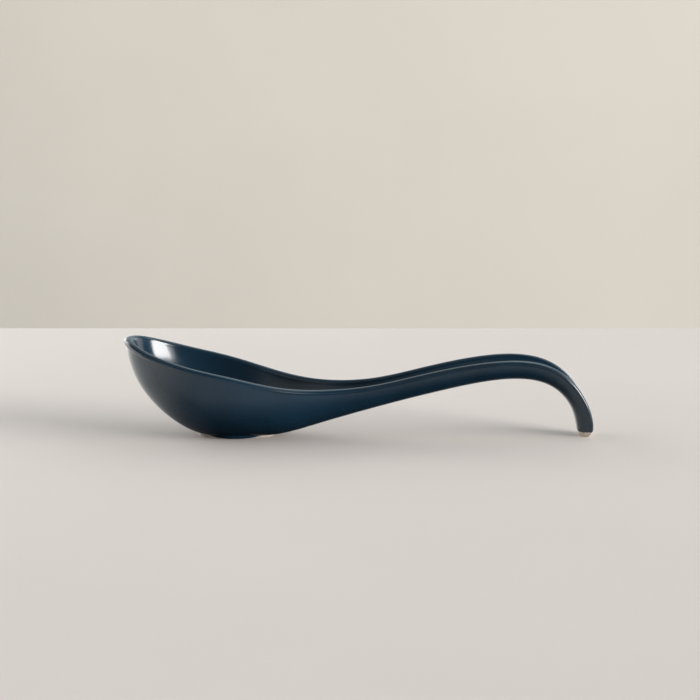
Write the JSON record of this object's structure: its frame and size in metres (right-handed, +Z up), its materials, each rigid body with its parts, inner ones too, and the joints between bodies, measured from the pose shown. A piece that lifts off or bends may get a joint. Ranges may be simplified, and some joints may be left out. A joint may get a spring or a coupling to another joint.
{
  "type": "chinese soup spoon",
  "caption": "Glazed stoneware soup spoon with a deep oval bowl, a channelled handle and a hooked end that stands on the table beside the bowl's bare oval foot.",
  "frame": {"origin": "middle of the bowl's oval foot, on the surface that the spoon stands on", "axes": "+X from the bowl along the handle to the hook, +Z up out of the bowl, +Y across the spoon, which is the same on both sides of the plane y = 0"},
  "size_m": [0.1723, 0.0462, 0.0368],
  "materials": {
    "bare_clay": "unglazed stoneware, matt and slightly rough",
    "navy_glaze": "glossy dark blue glaze, thinner and lighter over the lips"
  },
  "bodies": {
    "root": {"stoneware_body": "bare_clay", "glaze_coat": "navy_glaze"}
  },
  "joints": []
}
